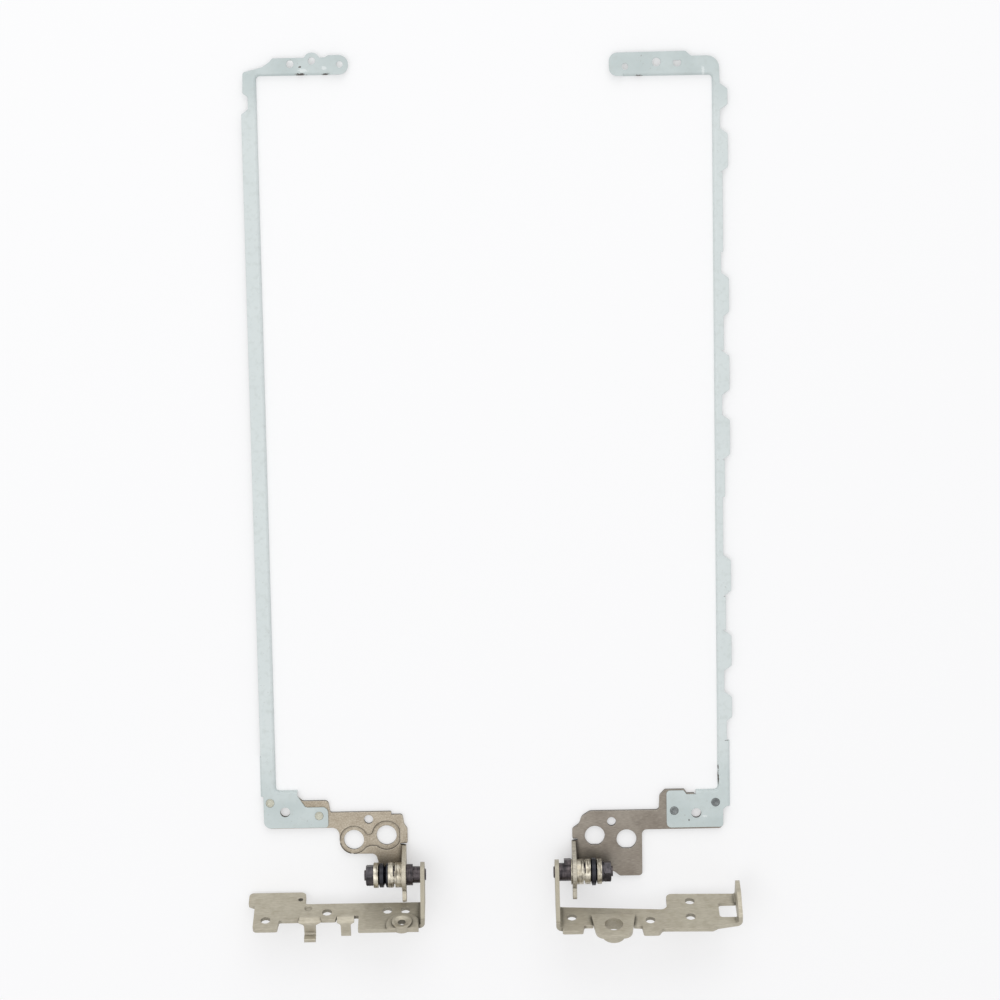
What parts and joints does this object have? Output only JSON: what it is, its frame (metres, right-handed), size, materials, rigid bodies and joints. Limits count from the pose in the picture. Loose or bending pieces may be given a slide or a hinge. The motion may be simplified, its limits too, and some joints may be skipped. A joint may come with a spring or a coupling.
{
  "type": "pair of laptop hinges",
  "caption": "Left and right laptop hinges with friction shafts, plated lid and base brackets, and long painted rails that hold the sides of a screen.",
  "frame": {"origin": "middle of the bottom of the bounding box, on the surface the hinges lie on", "axes": "+X from the left hinge to the right one along the shafts, +Y up the rails, +Z out of the screen side, up from the surface"},
  "size_m": [0.142, 0.2526, 0.0216],
  "materials": {
    "rail_paint": "pale blue-grey paint, satin",
    "plate_nickel": "warm nickel plating, satin",
    "dark_plate_nickel": "darker nickel plating, satin",
    "base_nickel": "warm nickel plating, satin",
    "rivet_steel": "plated, flush head",
    "dark_rivet_steel": "dark, dished head",
    "shaft_steel": "blackened, slightly oily",
    "washer_nickel": "nickel plating, greased",
    "spring_steel": "black oxide, oiled",
    "nut_steel": "blackened"
  },
  "bodies": {
    "root": {"left_rail": "rail_paint", "right_rail": "rail_paint", "left_lid_bracket": "plate_nickel", "right_lid_bracket": "dark_plate_nickel", "left_upper_rivet": "rivet_steel", "left_lower_rivet": "rivet_steel", "right_upper_rivet": "dark_rivet_steel", "right_lower_rivet": "dark_rivet_steel", "left_fixed_cam": "washer_nickel", "right_fixed_cam": "washer_nickel"},
    "left_base": {"left_base_bracket": "base_nickel", "left_shaft": "shaft_steel", "left_moving_cam": "washer_nickel", "left_inner_spring": "spring_steel", "left_middle_spring": "spring_steel", "left_outer_spring": "spring_steel", "left_pressure_washer": "washer_nickel", "left_nut": "nut_steel"},
    "right_base": {"right_base_bracket": "base_nickel", "right_shaft": "shaft_steel", "right_stop_washer": "washer_nickel", "right_moving_cam": "washer_nickel", "right_inner_spring": "spring_steel", "right_outer_spring": "spring_steel", "right_pressure_washer": "washer_nickel", "right_lock_washer": "nut_steel", "right_nut": "nut_steel"}
  },
  "joints": [
    {"name": "left_hinge", "type": "hinge", "parent": "root", "child": "left_base", "pos_m": [-0.02555, -0.10817, 0.0072], "axis": [1, 0, 0], "range_deg": [-115, 20]},
    {"name": "right_hinge", "type": "hinge", "parent": "root", "child": "right_base", "pos_m": [0.02345, -0.10817, 0.0072], "axis": [1, 0, 0], "range_deg": [-115, 20]}
  ]
}
